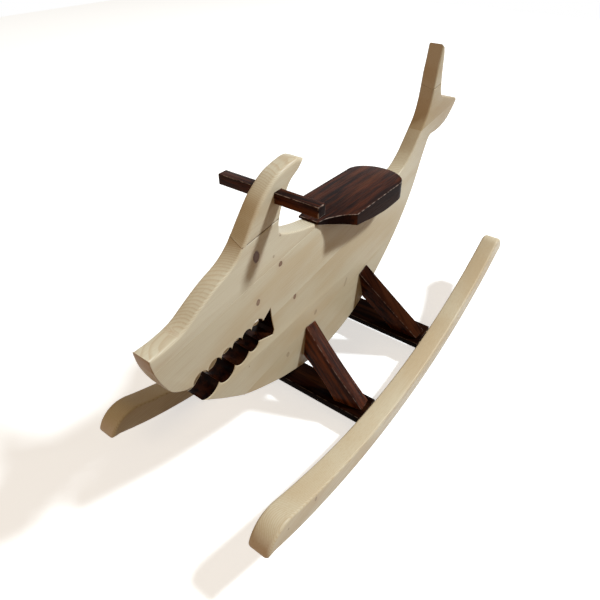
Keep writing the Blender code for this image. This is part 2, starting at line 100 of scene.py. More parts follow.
room = bpy.data.worlds.new("room")
bpy.context.scene.world = room
room.use_nodes = True
wires = room.node_tree
wires.nodes.clear()
walls, white = (wires.nodes.new("ShaderNodeBackground") for _ in range(2))
walls.inputs["Color"].default_value = (1.0, 0.73, 0.43, 1.0)
walls.inputs["Strength"].default_value = 0.18
white.inputs["Color"].default_value = (1.0, 1.0, 1.0, 1.0)
white.inputs["Strength"].default_value = 1.0
seen_apart(wires, walls, white, "ShaderNodeOutputWorld")

FLOOR_HALF, FLOOR_DROP = 6.0, 0.0005
floor_mesh = bpy.data.meshes.new("floor")
floor_mesh.from_pydata([(x * FLOOR_HALF, y * FLOOR_HALF, -FLOOR_DROP)
                        for x, y in ((-1, -1), (1, -1), (1, 1), (-1, 1))], [], [(0, 1, 2, 3)])
floor = bpy.data.objects.new("floor", floor_mesh)
bpy.context.scene.collection.objects.link(floor)
floor_paint = bpy.data.materials.new("white_floor")
floor_paint.use_nodes = True
wires = floor_paint.node_tree
wires.nodes.clear()
white, brown = (wires.nodes.new("ShaderNodeBsdfDiffuse") for _ in range(2))
white.inputs["Color"].default_value = (0.80, 0.78, 0.75, 1.0)
brown.inputs["Color"].default_value = (0.20, 0.12, 0.065, 1.0)
glow = wires.nodes.new("ShaderNodeEmission")
glow.inputs["Strength"].default_value = 0.60
lifted = wires.nodes.new("ShaderNodeAddShader")
wires.links.new(white.outputs[0], lifted.inputs[0])
wires.links.new(glow.outputs[0], lifted.inputs[1])
seen_apart(wires, brown, lifted, "ShaderNodeOutputMaterial")
floor_mesh.materials.append(floor_paint)


# The shark's body: five spruce boards glued edge to edge, sawn to one outline with the fin
# and the tail's tip glued on above, every outer edge rounded over with a router, the wall of
# the mouth stained dark, and all of it under a clear satin varnish.

# Half the thickness, and what is added to y, which the marks below count from the runners'
# lowest point. The panel's upper edge, its rise along the shark, which is the grain's too, its
# slant across the thickness, and how far below it the glue lines run.
BODY_HALF, LENGTH_SHIFT = 0.021, -0.036
PANEL_TOP, GRAIN_RISE, EDGE_SLANT = 0.6093, 0.126, 0.2
GRAIN_TURN = math.atan(GRAIN_RISE)
GLUE_LINES, GLUE_GAP = (0.095, 0.219, 0.353), 0.00002

# Radii of the edges: the router's, the fin's rear, the tail's, which is reached between two
# places along the back, and the softened ones of the mouth and the chin; the boards' own at
# the fin's glue line and at the other three; and the sander's along the top of the head.
ROUTER, FIN_REAR_EDGE, TAIL_EDGE, SOFT_EDGE = 0.004, 0.0055, 0.006, 0.0015
TAIL_STARTS, TAIL_ROUNDED = 0.40, 0.45
FIN_GROOVE, BOARD_EASE = 0.0028, (0.00025, 0.00006, 0.00006)
SANDED_Y = (-0.57, -0.50, -0.42, -0.34, -0.30, -0.26, -0.14)
SANDED_R = (0.0065, 0.0065, 0.0050, 0.0050, 0.0075, 0.0085, 0.0080)

# How far the saw leant in the mouth, (y, z), and after how many marks of the outline, counted
# from the jaw's tip, the lean begins, is full, starts to fade and is over. The router's
# rounding fades over the last marks before the tip.
MOUTH_LEAN, LEAN_MARKS, FADE_MARKS = (-0.006, 0.011), (0, 10, 70, 82), 14

# The outline, (y, z) with y from the runners' lowest point: along the top from the snout to
# the tail, back along the belly, and round the mouth.
FOREHEAD = [(-0.568, 0.475), (-0.531, 0.476), (-0.490, 0.484), (-0.447, 0.506), (-0.407, 0.525),
            (-0.367, 0.541), (-0.335, 0.565), (-0.301, 0.608), (-0.270, 0.643), (-0.230, 0.670),
            (-0.191, 0.681), (-0.163, 0.684), (-0.144, 0.677)]
FIN_REAR = [(-0.144, 0.677), (-0.162, 0.660), (-0.187, 0.645), (-0.203, 0.624), (-0.217, 0.599),
            (-0.225, 0.572), (-0.225, 0.547)]
BACK = [(-0.225, 0.547), (-0.191, 0.532), (-0.140, 0.517), (-0.102, 0.509), (-0.077, 0.500),
        (-0.033, 0.4885), (0.017, 0.479), (0.065, 0.470), (0.137, 0.463), (0.215, 0.467),
        (0.297, 0.482), (0.345, 0.508), (0.388, 0.549), (0.426, 0.591), (0.445, 0.634),
        (0.453, 0.672), (0.459, 0.706), (0.469, 0.742), (0.478, 0.779)]
TAIL_REAR = [(0.492, 0.771), (0.497, 0.749), (0.499, 0.711), (0.504, 0.671), (0.512, 0.644),
             (0.529, 0.630)]
LOBE_TOP = [(0.529, 0.630), (0.575, 0.616), (0.621, 0.604), (0.633, 0.597)]
LOBE_UNDER = [(0.633, 0.597), (0.621, 0.582), (0.600, 0.565), (0.575, 0.549), (0.541, 0.539),
              (0.507, 0.535), (0.470, 0.534), (0.454, 0.522)]
BELLY = [(0.454, 0.522), (0.429, 0.477), (0.391, 0.402), (0.341, 0.333), (0.279, 0.270),
         (0.203, 0.210), (0.129, 0.161), (0.056, 0.133), (-0.030, 0.118), (-0.110, 0.120),
         (-0.172, 0.134), (-0.248, 0.158), (-0.345, 0.201), (-0.404, 0.241), (-0.474, 0.298)]
LOWER_TEETH = [(-0.474, 0.298), (-0.427, 0.308), (-0.381, 0.316), (-0.337, 0.320),
               (-0.306, 0.323)]
LOWER_HOLLOWS = [(-0.448, 0.291), (-0.403, 0.293), (-0.357, 0.303), (-0.317, 0.310)]
MOUTH_BACK = [(-0.306, 0.323), (-0.260, 0.308), (-0.255, 0.318), (-0.261, 0.350),
              (-0.264, 0.384), (-0.289, 0.366)]
UPPER_TEETH = [(-0.289, 0.366), (-0.325, 0.366), (-0.353, 0.360), (-0.383, 0.359),
               (-0.414, 0.356), (-0.450, 0.353), (-0.489, 0.349)]
UPPER_HOLLOWS = [(-0.305, 0.381), (-0.338, 0.377), (-0.367, 0.375), (-0.400, 0.372),
                 (-0.434, 0.371), (-0.474, 0.367)]
CHIN = [(-0.489, 0.349), (-0.509, 0.356), (-0.536, 0.376), (-0.5505, 0.403), (-0.562, 0.435),
        (-0.5675, 0.464), (-0.568, 0.475)]


def bent_lath(points, steps=12):
    """A smooth line through marks, as a bent lath draws it. From b to c, of four marks a, b, c
    and d, it is half of 2b + (c-a)t + (2a-5b+4c-d)tt + (3b-a-3c+d)ttt, a cubic whose slope at
    each mark is half the way from the mark before it to the mark after it."""
    p = np.array(points, float)
    p = np.vstack([2 * p[0] - p[1], p, 2 * p[-1] - p[-2]])
    t = np.linspace(0, 1, steps, endpoint=False)[:, None, None]
    a, b, c, d = p[:-3], p[1:-2], p[2:-1], p[3:]
    runs = 0.5 * (2 * b + (c - a) * t + (2 * a - 5 * b + 4 * c - d) * t ** 2
                  + (3 * b - a - 3 * c + d) * t ** 3)
    return np.vstack([runs.transpose(1, 0, 2).reshape(-1, 2), p[-2:-1]])


def compass_arc(start, middle, end, steps=16):
    """The circular arc through three marks; its centre is where the mid-normals meet."""
    a, b, c = (complex(*q) for q in (start, middle, end))
    w = (c - a) / (b - a)
    centre = (b - a) * (w - abs(w) ** 2) / (2j * w.imag) + a
    first, sweep = a - centre, np.angle((c - centre) / (a - centre))
    way = np.sign(((b - a).conjugate() * (c - b)).imag)
    if sweep * way < 0:
        sweep += way * 2 * math.pi
    round_line = centre + first * np.exp(1j * sweep * np.linspace(0, 1, steps + 1))
    return np.column_stack([round_line.real, round_line.imag])


def straight(points, steps=6):
    """Straight lines from mark to mark."""
    p = np.array(points, float)
    t = np.linspace(0, 1, steps, endpoint=False)[:, None, None]
    runs = p[:-1] + (p[1:] - p[:-1]) * t
    return np.vstack([runs.transpose(1, 0, 2).reshape(-1, 2), p[-1:]])


def shark_line():
    """The sawn outline, (y, z), with each edge's rounding, whether its wall is stained, and how
    far the outline has moved by the right face, where the saw leant along the lower jaw. The
    snout, the forehead and most of all the fin were sanded rounder than the router left them:
    their radius is read from a short table along the shark."""
    mouth = [compass_arc(a, b, c) for a, b, c in
             zip(LOWER_TEETH, LOWER_HOLLOWS, LOWER_TEETH[1:])]
    mouth += [straight(MOUTH_BACK)]
    mouth += [compass_arc(a, b, c) for a, b, c in
              zip(UPPER_TEETH, UPPER_HOLLOWS, UPPER_TEETH[1:])]
    tip = straight([BACK[-1], TAIL_REAR[0]])
    sanded, hollow = bent_lath(FOREHEAD), bent_lath(BACK)
    runs = [(sanded, np.interp(sanded[:-1, 0], SANDED_Y, SANDED_R), 0),
            (bent_lath(FIN_REAR), FIN_REAR_EDGE, 0),
            (hollow, np.interp(hollow[:-1, 0], (TAIL_STARTS, TAIL_ROUNDED),
                               (ROUTER, TAIL_EDGE)), 0),
            (tip, TAIL_EDGE, 0), (bent_lath(TAIL_REAR), TAIL_EDGE, 0),
            (bent_lath(LOBE_TOP), ROUTER, 0), (bent_lath(LOBE_UNDER), ROUTER, 0),
            (bent_lath(BELLY), ROUTER, 0)]
    runs += [(run, SOFT_EDGE, 1) for run in mouth] + [(bent_lath(CHIN), SOFT_EDGE, 0)]
    line = np.vstack([run[:-1] for run, _, _ in runs]) + (LENGTH_SHIFT, 0)
    rounding = np.concatenate([np.broadcast_to(r, len(run) - 1) for run, r, _ in runs])
    jaw_tip = sum(len(run) - 1 for run, _, _ in runs[:8])
    rounding[jaw_tip - FADE_MARKS:jaw_tip] = np.linspace(ROUTER, SOFT_EDGE, FADE_MARKS)
    wall = np.concatenate([np.full(len(run) - 1, s) for run, _, s in runs])
    share = np.interp(np.arange(len(line)) - jaw_tip, LEAN_MARKS, (0, 1, 1, 0))
    return line, rounding, wall, share[:, None] * MOUTH_LEAN


# The cosine above which two edges count as one straight run, how far a mark may move in times
# its depth, and how many marks ahead a crossing is looked for.
STRAIGHT_RUN, LONGEST_MITRE, LOOK_AHEAD = 0.985, 3.0, 60


def plane_in(line, depth):
    """The outline planed inwards by a depth for each of its edges: each mark moves to where the
    two planed edges meet. Where two planed edges cross further on, as at the point of a tooth,
    the marks between them gather at that crossing."""
    after = np.roll(line, -1, axis=0)
    way = after - line
    way /= np.linalg.norm(way, axis=1)[:, None]
    area = np.sum(line[:, 0] * after[:, 1] - after[:, 0] * line[:, 1])
    inward = np.column_stack([-way[:, 1], way[:, 0]]) * np.sign(area)
    n1, n2 = np.roll(inward, 1, axis=0), inward
    d1, d2 = np.roll(depth, 1)[:, None], depth[:, None]
    c = np.sum(n1 * n2, axis=1)[:, None]
    sharp = (d1 * (n1 - c * n2) + d2 * (n2 - c * n1)) / np.maximum(1 - c * c, 1e-6)
    flat = (d1 + d2) / 2 * (n1 + n2) / np.maximum(1 + c, 0.3)
    shift = np.where(c < STRAIGHT_RUN, sharp, flat)
    most = LONGEST_MITRE * np.maximum(d1, d2)
    moved = line + shift * np.minimum(1, most / np.maximum(np.linalg.norm(shift, axis=1),
                                                           1e-12)[:, None])
    count = len(line)
    span = min(LOOK_AHEAD, count // 2)
    while span > 1:
        a, b = moved, np.roll(moved, -1, axis=0)
        e, f = np.roll(moved, -span, axis=0), np.roll(moved, -span - 1, axis=0)
        u, v, w = b - a, f - e, e - a
        cross = u[:, 0] * v[:, 1] - u[:, 1] * v[:, 0]
        safe = np.where(np.abs(cross) < 1e-14, 1e-14, cross)
        s = (w[:, 0] * v[:, 1] - w[:, 1] * v[:, 0]) / safe
        t = (w[:, 0] * u[:, 1] - w[:, 1] * u[:, 0]) / safe
        at = a + u * s[:, None]
        apart = np.linalg.norm(at - b, axis=1) + np.linalg.norm(at - e, axis=1)
        hit = (s > 1e-6) & (s < 1 + 1e-6) & (t > -1e-6) & (t < 1 - 1e-6) & (apart > 1e-7)
        hit &= np.abs(cross) > 1e-13
        if hit.any():
            k = int(np.argmax(hit))
            moved = moved.copy()
            moved[np.arange(k + 1, k + span + 1) % count] = at[k]
        else:
            span -= 1
    return moved


def band(start, count):
    """The faces between a closed ring of points, which begins at start, and the next ring."""
    i = start + np.arange(count)
    j = start + (np.arange(count) + 1) % count
    return np.column_stack([i, j, j + count, i + count]).tolist()


def sawn_piece(name, line_at, half, place, bend=6, hole=None, rim=1.0):
    """A piece sawn to an outline and rounded over on both rims. line_at(t) gives the outline
    at a distance t across the thickness, with each edge's rounding, its material and its edge
    mark; a quarter circle at each rim is r(1 - cos a) in from the outline and r(1 - sin a) in
    from the face. The edge mark, rubbed wear with a painted highlight on an arris and old glue
    with painted shade in the fin's glue groove, fades as cos a from the corners on to the face;
    the mark of a rim, wear with a painted highlight, rises as sin 2a in the middle of it. A hole
    goes square through."""
    turns = np.linspace(0, math.pi / 2, bend + 1)
    sides = [(-1, a) for a in turns[::-1]] + [(1, a) for a in turns]
    rings, edge_marks = [], []
    for side, turn in sides:
        line, rounding, stain, edge_mark = line_at(side * half)
        lean = (rounding + np.roll(rounding, 1)) / 2
        ring = plane_in(line, rounding * (1 - math.cos(turn)))
        across = side * (half - lean * (1 - math.sin(turn)))
        rings.append(place(ring[:, 0], ring[:, 1], across))
        edge_marks.append(np.maximum(edge_mark * math.cos(turn), rim * math.sin(2 * turn)))
    count = len(rings[0])
    faces, painted = [], []
    for k in range(len(rings) - 1):
        faces += band(k * count, count)
        painted += (stain if k == bend else stain * 0).tolist()
    smooth = [True] * len(faces)
    top = (len(rings) - 1) * count
    if hole is None:
        faces += [list(range(count))[::-1], list(range(top, top + count))]
    else:
        wall = len(rings) * count
        around = len(hole)
        for side in (-1, 1):
            rings.append(place(hole[:, 0], hole[:, 1], side * half))
            edge_marks.append(np.zeros(around))
        faces += band(wall, around)
        ends = [0, around // 2]
        near = [int(np.argmin(np.linalg.norm(line - hole[e], axis=1))) for e in ends]
        for base, inner in ((0, wall), (top, wall + around)):
            for here, there in ((0, 1), (1, 0)):
                span = (near[there] - near[here]) % count
                outer = base + (near[here] + np.arange(span + 1)) % count
                part = (ends[there] - ends[here]) % around
                back = inner + (ends[here] + np.arange(part + 1)) % around
                faces.append(outer.tolist() + back[::-1].tolist())
    painted += [0] * (len(faces) - len(painted))
    smooth += [False] * (len(faces) - len(smooth))
    return finished_mesh(name, np.vstack(rings), faces, painted, smooth, np.concatenate(edge_marks))


SAME_POINT, SLIVER, CREASE = 2e-6, 1e-6, math.radians(35)


def finished_mesh(name, verts, faces, painted, smooth, edge_marks):
    """A mesh object of those faces, doubled points merged and all faces turned outwards. Each
    point's edge mark stays on the mesh as an attribute: rubbed wear with a painted highlight on
    an arris, and old glue with painted shade in the fin's glue groove."""
    mesh = bpy.data.meshes.new(name)
    mesh.from_pydata(verts.tolist(), [], faces)
    mesh.polygons.foreach_set("material_index", np.array(painted, np.int32))
    mesh.polygons.foreach_set("use_smooth", np.array(smooth, bool))
    mesh.attributes.new("edge_marks", "FLOAT", "POINT").data.foreach_set("value", edge_marks)
    bm = bmesh.new()
    bm.from_mesh(mesh)
    bmesh.ops.remove_doubles(bm, verts=bm.verts[:], dist=SAME_POINT)
    bmesh.ops.dissolve_degenerate(bm, edges=bm.edges[:], dist=SLIVER)
    bmesh.ops.recalc_face_normals(bm, faces=bm.faces[:])
    bm.to_mesh(mesh)
    bm.free()
    mesh.set_sharp_from_angle(angle=CREASE)
    piece = bpy.data.objects.new(name, mesh)
    bpy.context.scene.collection.objects.link(piece)
    return piece


def board_line(line, rounding, wall, lean, top, bottom, front, back):
    """What of the outline lies between two glue lines: line_at(t) for one board. The line is
    followed where it is inside, and crosses straight along a glue line where it is outside."""
    count = len(line)

    def under(points, t):
        slant = EDGE_SLANT * (BODY_HALF - t)
        y, z = points[:, 0] - LENGTH_SHIFT, points[:, 1]
        return PANEL_TOP + GRAIN_RISE * y - z, slant

    def inside(t):
        depth, slant = under(line, t)
        upper = top + GLUE_GAP - (slant if top == 0 else 0)
        lower = bottom - GLUE_GAP - (slant if bottom == 0 else 0)
        y = line[:, 0] - LENGTH_SHIFT
        within = (depth > upper) & (depth < lower) & (y > front) & (y < back)
        return within, depth, upper, lower

    both = inside(-BODY_HALF)[0] & inside(BODY_HALF)[0]
    starts = [k for k in range(count) if both[k] and not both[k - 1]]
    lead = 8

    def line_at(t):
        _, depth, upper, lower = inside(t)
        leant = line + lean * (BODY_HALF - t) / (2 * BODY_HALF)
        points, rounds, stains, seams = [], [], [], []
        for start in starts:
            stop = start
            while both[(stop + 1) % count]:
                stop += 1
            run = np.arange(start, stop + 1) % count
            ends = []
            for here, step in ((start, -1), (stop, 1)):
                k = here
                limit = upper if abs(depth[here % count] - upper) < abs(
                    depth[here % count] - lower) else lower
                while (depth[k % count] - limit) * (depth[(k + step) % count] - limit) > 0:
                    k += step
                a, b = depth[k % count] - limit, depth[(k + step) % count] - limit
                share = a / (a - b)
                reach = (k - here) * step + share
                marks = here + step * reach * np.linspace(1, 0, lead, endpoint=False)
                low = np.floor(marks).astype(int)
                part = (marks - low)[:, None]
                ends.append(line[low % count] * (1 - part) + line[(low + 1) % count] * part)
            points += [ends[0], leant[run], ends[1][::-1]]
            grooves = {0.0: FIN_GROOVE, **dict(zip(GLUE_LINES, BOARD_EASE))}
            near = [top if abs(depth[k] - upper) < abs(depth[k] - lower) else bottom
                    for k in (run[0], run[-1])]
            seam = grooves.get(near[1])
            # The fin's glue line is marked for its old glue and the painted shade in its groove.
            seams += [[float(near[0] == 0.0)], np.zeros(2 * lead + len(run) - 2),
                      [float(near[1] == 0.0)]]
            rounds += [np.full(lead, rounding[run[0]]), rounding[run],
                       np.full(lead - 1, rounding[run[-1]]), [seam]]
            stains += [np.full(lead, wall[run[0]]), wall[run],
                       np.full(lead - 1, wall[run[-1]]), [0]]
        points = np.vstack(points)
        return (points, np.concatenate(rounds), np.concatenate(stains).astype(int),
                np.concatenate(seams))

    return line_at


def flank(y, z, across):
    """Points of an outline in (y, z), set at a distance across the shark, along X."""
    return np.column_stack([np.broadcast_to(across, y.shape), y, z])


GRAIN_DEPTH = 0.0004


class Finish:
    """A finish drawn by nodes from the piece's own Object coordinates. Most methods add a node
    and give back what comes out of it."""

    def __init__(self, name):
        self.material = bpy.data.materials.new(name)
        self.material.use_nodes = True
        self.tree = self.material.node_tree
        self.shader = self.tree.nodes["Principled BSDF"]
        self.position = self.tree.nodes.new("ShaderNodeTexCoord")
        self.place = self.position.outputs["Object"]

    def fill(self, node, inputs):
        """Each socket linked to what it is given, or set to it."""
        for socket, value in inputs.items():
            if isinstance(value, bpy.types.NodeSocket):
                self.tree.links.new(value, node.inputs[socket])
            else:
                node.inputs[socket].default_value = value

    def give(self, socket, value):
        """One socket of the shader itself."""
        self.fill(self.shader, {socket: value})

    def add(self, kind, inputs, **settings):
        """Any node, with its settings."""
        node = self.tree.nodes.new("ShaderNode" + kind)
        for key, value in settings.items():
            setattr(node, key, value)
        self.fill(node, inputs)
        return node.outputs

    def sum(self, kind, a, b=0.0):
        """A sum on two numbers."""
        return self.add("Math", {0: a, 1: b}, operation=kind)[0]

    def vector(self, kind, a, b):
        """A sum on two vectors."""
        return self.add("VectorMath", {0: a, 1: b}, operation=kind)[0]

    def length(self, a):
        """A vector's length."""
        return self.add("VectorMath", {0: a}, operation="LENGTH")["Value"]

    def moved(self, place, location=(0, 0, 0), rotation=(0, 0, 0), scale=(1, 1, 1), kind="POINT"):
        """The place scaled, turned and shifted, or with TEXTURE the pattern in its stead."""
        inputs = {"Vector": place, "Location": location, "Rotation": rotation, "Scale": scale}
        return self.add("Mapping", inputs, vector_type=kind)[0]

    def noise(self, place, scale, shift=(0, 0, 0), detail=2.0, rough=0.5):
        """Smooth noise with so many swells to the metre in the three directions."""
        inputs = {"Vector": self.moved(place, shift, scale=scale), "Scale": 1.0,
                  "Detail": detail, "Roughness": rough}
        return self.add("TexNoise", inputs)

    def step(self, value, low, high, start=0.0, end=1.0):
        """A soft step from start, at low, to end, at high."""
        inputs = {"Value": value, "From Min": low, "From Max": high, "To Min": start,
                  "To Max": end}
        return self.add("MapRange", inputs, interpolation_type="SMOOTHSTEP")[0]

    def mix(self, share, first, second, blend="MIX"):
        """That share of the second colour in the first."""
        first, second = ((*colour, 1.0) if isinstance(colour, (tuple, list)) else colour
                         for colour in (first, second))
        return self.add("Mix", {0: share, 6: first, 7: second}, data_type="RGBA",
                        blend_type=blend)[2]

    def relief(self, height, strength):
        """The fibres' height as a slope of the surface, given to the shader."""
        inputs = {"Height": height, "Strength": strength, "Distance": GRAIN_DEPTH}
        self.give("Normal", self.add("Bump", inputs)[0])


def growth_rings(finish, grain, pith, spacing, wander, seed):
    """How far into its year's growth each point is: the distance from the tree's pith, which
    runs along the grain, over the ring width, with a slow wander along the board."""
    bent = finish.noise(grain, (7, 1.6, 7), shift=(seed, seed, 0), rough=0.45)
    shift = finish.vector("MULTIPLY", finish.vector("SUBTRACT", bent["Color"], (0.5, 0.5, 0.5)),
                          (wander, 0.0, wander))
    off = finish.vector("ADD", finish.vector("SUBTRACT", grain, (pith[0], 0.0, pith[1])), shift)
    flat = finish.vector("MULTIPLY", off, (1.0, 0.0, 1.0))
    return finish.sum("DIVIDE", finish.length(flat), spacing)


# Colours of the wood: early growth where it is paler and browner, late growth, old glue with
# painted shade deep in the fin's glue groove, the halo round a knot, its heart in two tones and
# its rim. What the colour is multiplied by on end grain that drank the varnish, on end grain as
# painted light, and on the flank towards the tail's end as painted shade, and between which
# places that painted shade comes in. The reach of a knot across the board, in metres.
EARLY_PALE, EARLY_BROWN, LATE = (0.630, 0.558, 0.415), (0.575, 0.468, 0.315), (0.44, 0.29, 0.155)
GLUE_AND_SHADE_BROWN, KNOT_HALO, RIGHT_THROUGH = (0.115, 0.052, 0.026), (0.46, 0.30, 0.19), 10.0
KNOT_DARK, KNOT_RED, KNOT_RIM = (0.10, 0.040, 0.022), (0.19, 0.085, 0.045), (0.085, 0.030, 0.018)
THIRSTY_END, PAINTED_END_LIGHT = (0.64, 0.45, 0.28), (1.15, 1.15, 1.40)
PAINTED_TAIL_SHADE, PAINTED_TAIL_SHADE_COLOUR, PAINTED_TAIL_SHADE_FROM, PAINTED_TAIL_SHADE_TO = 0.9, (0.72, 0.66, 0.62), 0.25, 0.52


def spruce(name, pith, spacing, tone, knots=(), turn=GRAIN_TURN, seed=0.0, wander=0.022,
           end_share=0.8, end_tint_and_light=THIRSTY_END, painted_tail_shade=0.0):
    """Knotty spruce under satin varnish: pale early wood, thin darker late wood at the end of
    each ring, silky fibres, end grain that drinks the varnish, and brown knots that push the
    rings aside and are darkest at their rim. end_share is the share of end_tint_and_light on
    end grain: THIRSTY_END darkens it where the varnish sank in, and PAINTED_END_LIGHT lightens
    it as painted light. painted_tail_shade is how far painted shade darkens the flank at the
    tail's end. A knot is an ellipse drawn right through the board: a point's distance from it
    counts in its half widths, and noise makes that ragged."""
    wood = Finish(name)
    wood.give("Specular IOR Level", 0.16)
    grain = wood.moved(wood.place, rotation=(-turn, 0, 0))
    rings = growth_rings(wood, grain, pith, spacing, wander, seed)
    core, rim, halo = None, None, None
    for y, z, long, wide, lean, strength in knots:
        own = wood.moved(wood.place, (0, y, z), (lean, 0, 0), (RIGHT_THROUGH, long, wide),
                         "TEXTURE")
        ragged = wood.noise(wood.place, (240, 240, 240))["Fac"]
        away = wood.sum("ADD", wood.length(own),
                        wood.sum("MULTIPLY", wood.sum("SUBTRACT", ragged, 0.5), 0.5))
        spots = (wood.step(away, 1.05, 0.80, 0.0, strength),
                 wood.sum("MULTIPLY", wood.step(away, 1.15, 0.92, 0.0, strength),
                          wood.step(away, 0.55, 0.92)),
                 wood.step(away, 3.6, 0.8, 0.0, strength))
        if core is not None:
            spots = [wood.sum("MAXIMUM", old, new) for old, new in zip((core, rim, halo), spots)]
        core, rim, halo = spots
    if knots:
        rings = wood.sum("ADD", rings, wood.sum("MULTIPLY", halo, 2.0))
    year = wood.sum("FRACT", rings)
    late = wood.sum("MULTIPLY", wood.step(year, 0.40, 0.90), wood.step(year, 1.0, 0.94))

    normal = wood.position.outputs["Normal"]
    along = (0.0, math.cos(turn), math.sin(turn))
    facing = wood.add("VectorMath", {0: normal, 1: along}, operation="DOT_PRODUCT")["Value"]
    end = wood.sum("MULTIPLY", facing, facing)

    fibre = wood.noise(grain, (520, 9, 520), rough=0.6)["Fac"]
    cloud = wood.noise(grain, (9, 3.5, 14), shift=(seed * 3 + 4, 0, 0))["Fac"]
    pale, brown, dark = ([c * t for c, t in zip(colour, tone)]
                         for colour in (EARLY_PALE, EARLY_BROWN, LATE))
    early = wood.mix(wood.step(cloud, 0.35, 0.68), pale, brown)
    show = wood.sum("ADD", wood.sum("MULTIPLY", wood.step(end, 0.02, 0.5), 0.04), 0.36)
    colour = wood.mix(wood.sum("MULTIPLY", late, show), early, dark)
    colour = wood.mix(wood.step(fibre, 0.42, 0.75, 0.0, 0.26), colour, dark)
    # End grain: darkened where the varnish sank in, and on the tail's boards and the runners
    # lightened as painted light.
    sunk = wood.mix(1.0, colour, end_tint_and_light, "MULTIPLY")
    colour = wood.mix(wood.step(end, 0.20, 0.85, 0.0, end_share), colour, sunk)
    # Painted shade: the flank, not the end grain, darkens towards the tail's end.
    if painted_tail_shade:
        far = wood.add("SeparateXYZ", {0: wood.place})[1]
        far = wood.step(far, PAINTED_TAIL_SHADE_FROM, PAINTED_TAIL_SHADE_TO, 0.0, painted_tail_shade)
        far = wood.sum("MULTIPLY", far, wood.sum("SUBTRACT", 1.0, end))
        colour = wood.mix(far, colour, PAINTED_TAIL_SHADE_COLOUR, "MULTIPLY")
    # Old glue and painted shade, darkest deep in the fin's glue groove.
    glue_and_shade = wood.add("Attribute", {}, attribute_name="edge_marks")["Fac"]
    colour = wood.mix(wood.step(glue_and_shade, 0.50, 0.92, 0.0, 0.90), colour, GLUE_AND_SHADE_BROWN)
    if knots:
        colour = wood.mix(wood.sum("MULTIPLY", halo, 0.28), colour, KNOT_HALO)
        grit = wood.noise(wood.place, (160, 160, 160), detail=3.0)["Fac"]
        colour = wood.mix(core, colour, wood.mix(grit, KNOT_DARK, KNOT_RED))
        colour = wood.mix(wood.sum("MULTIPLY", rim, 0.75), colour, KNOT_RIM)
    wood.give("Base Color", colour)
    wood.give("Roughness", wood.step(cloud, 0.3, 0.7, 0.34, 0.44))
    wood.relief(wood.sum("ADD", wood.sum("MULTIPLY", late, 0.6), fibre), 0.16)
    return wood.material


# Colours of the stain: where the wood took it up, along the hard grain, in its broad streaks,
# in its hair lines, on rough sawn faces, and on the arrises, where it is rubbed through and a
# painted highlight lies.
STAIN_DEEP, STAIN_RED = (0.0070, 0.0014, 0.0009), (0.062, 0.0145, 0.0052)
STAIN_BROAD, STAIN_HAIR = (0.130, 0.037, 0.0125), (0.0070, 0.0016, 0.0010)
STAIN_SOAKED, RUBBED_AND_SHEEN = (0.0050, 0.0012, 0.0008), (0.36, 0.26, 0.21)


def stained(name, streaks, seed=0.0, light=1.0, turn=(0, 0, 0), wear_and_sheen=0.0, soaked=0.0,
            gloss=0.030):
    """Dark red-brown stain under satin varnish: nearly black where the wood took it up, redder
    along the hard grain, in streaks along the piece, pale on the arrises, where it is rubbed
    through and a painted highlight lies. streaks gives their number to the metre in the three
    directions, light multiplies the colours, wear_and_sheen is how far the arrises are paled by
    rubbing and painted highlight, and soaked how much darker and duller the faces across X are,
    where the saw left them rough."""
    wood = Finish(name)
    wood.give("Specular IOR Level", gloss)
    grain = wood.moved(wood.place, (seed, seed * 0.7, seed * 1.3), turn)
    broad = wood.noise(grain, [s * 0.28 for s in streaks])["Fac"]
    fine = wood.noise(grain, streaks, detail=4.0, rough=0.65)["Fac"]
    hair = wood.noise(grain, [s * 3.1 for s in streaks])["Fac"]
    deep, red, wide, thin = ([c * light for c in colour]
                             for colour in (STAIN_DEEP, STAIN_RED, STAIN_BROAD, STAIN_HAIR))
    colour = wood.mix(wood.step(fine, 0.36, 0.66), deep, red)
    colour = wood.mix(wood.step(broad, 0.44, 0.68, 0.0, 0.80), colour, wide)
    colour = wood.mix(wood.step(hair, 0.50, 0.70, 0.0, 0.65), colour, thin)
    if soaked:
        across = wood.add("SeparateXYZ", {0: wood.position.outputs["Normal"]})[0]
        across = wood.step(wood.sum("MULTIPLY", across, across), 0.25, 0.65, 0.0, soaked)
        colour = wood.mix(across, colour, STAIN_SOAKED)
        dull = wood.add("Math", {0: across, 1: -0.6 * gloss, 2: gloss}, operation="MULTIPLY_ADD")
        wood.give("Specular IOR Level", dull[0])
    # Pale arrises: rubbed wear, and a painted highlight in the middle of each arris.
    if wear_and_sheen:
        rubbed_and_sheen = wood.add("Attribute", {}, attribute_name="edge_marks")["Fac"]
        broken = wood.noise(wood.place, (90, 90, 90), detail=3.0, rough=0.6)["Fac"]
        share = wood.sum("MULTIPLY", rubbed_and_sheen, wood.step(broken, 0.38, 0.66, 0.0, wear_and_sheen))
        colour = wood.mix(share, colour, RUBBED_AND_SHEEN)
    wood.give("Base Color", colour)
    wood.give("Roughness", wood.step(hair, 0.3, 0.7, 0.24, 0.36))
    wood.relief(wood.sum("ADD", fine, hair), 0.2)
    return wood.material


